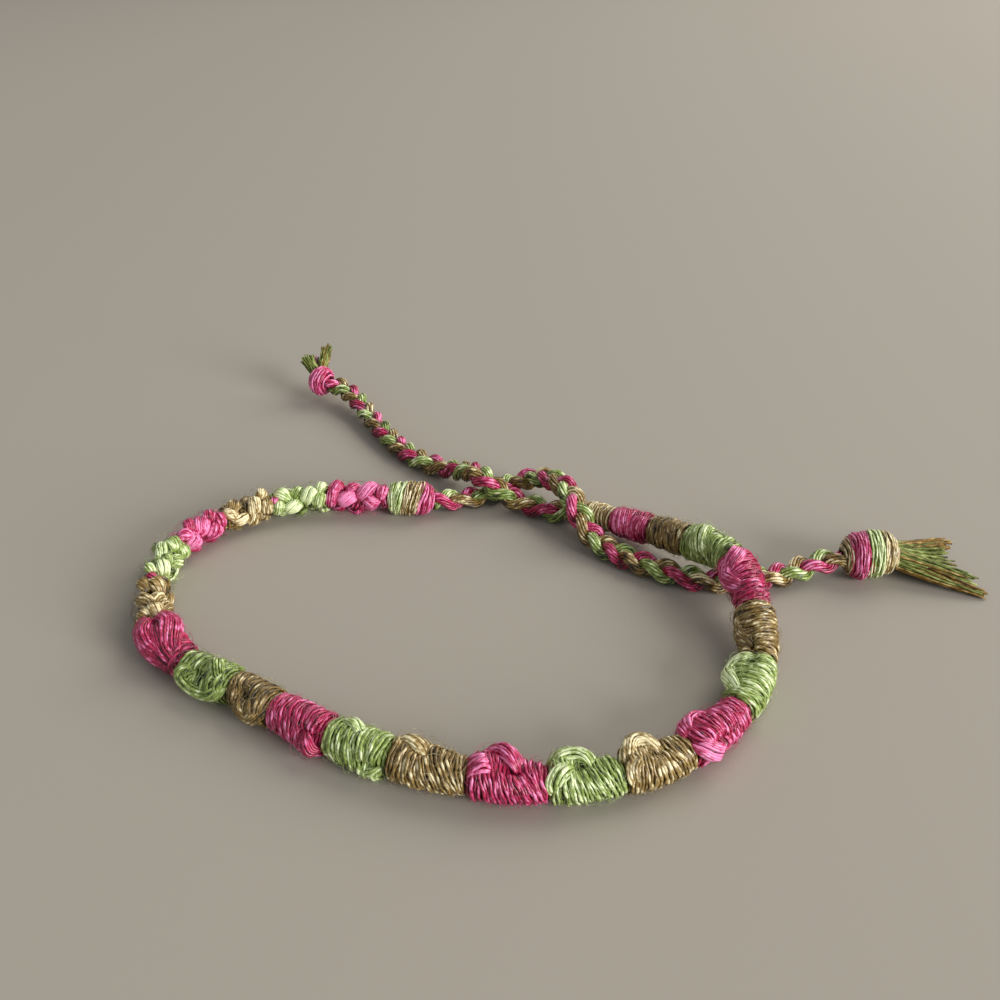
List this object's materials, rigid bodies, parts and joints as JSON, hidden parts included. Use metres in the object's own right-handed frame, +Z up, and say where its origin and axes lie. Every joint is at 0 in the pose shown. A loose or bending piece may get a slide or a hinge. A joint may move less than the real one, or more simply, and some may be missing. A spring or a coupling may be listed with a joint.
{
  "type": "friendship bracelet",
  "caption": "Knotted cotton friendship bracelet: a loop band of knotted segments in pink, light green and gold, with two plaited ties, end knots and a cut tassel.",
  "frame": {"origin": "on the surface that the loop rests on, under the middle of the band's box, without the ties", "axes": "+Z up out of that surface; -Y towards the front of the loop, opposite the ties; +X towards the tasselled tie"},
  "size_m": [0.089, 0.0805, 0.007],
  "materials": {
    "pink_floss": "satin cotton floss",
    "light_green_floss": "satin cotton floss",
    "gold_floss": "satin cotton floss",
    "plaited_floss": "three plaited strands of satin cotton floss, one of each colour"
  },
  "bodies": {
    "root": {"start_knot": "light_green_floss", "segment_01": "pink_floss", "segment_02": "light_green_floss", "segment_03": "gold_floss", "segment_04": "pink_floss", "segment_05": "light_green_floss", "segment_06": "gold_floss", "segment_07": "pink_floss", "segment_08": "light_green_floss", "segment_09": "gold_floss", "segment_10": "pink_floss", "segment_11": "light_green_floss", "segment_12": "gold_floss", "segment_13": "pink_floss", "segment_14": "light_green_floss", "segment_15": "gold_floss", "segment_16": "pink_floss", "segment_17": "light_green_floss", "segment_18": "gold_floss", "segment_19": "pink_floss", "segment_20": "light_green_floss", "segment_21": "gold_floss", "segment_22": "pink_floss", "end_knot": "gold_floss", "near_tie": "plaited_floss", "near_tie_knot": "plaited_floss", "far_tie": "plaited_floss", "far_tie_knot": "plaited_floss"}
  },
  "joints": []
}
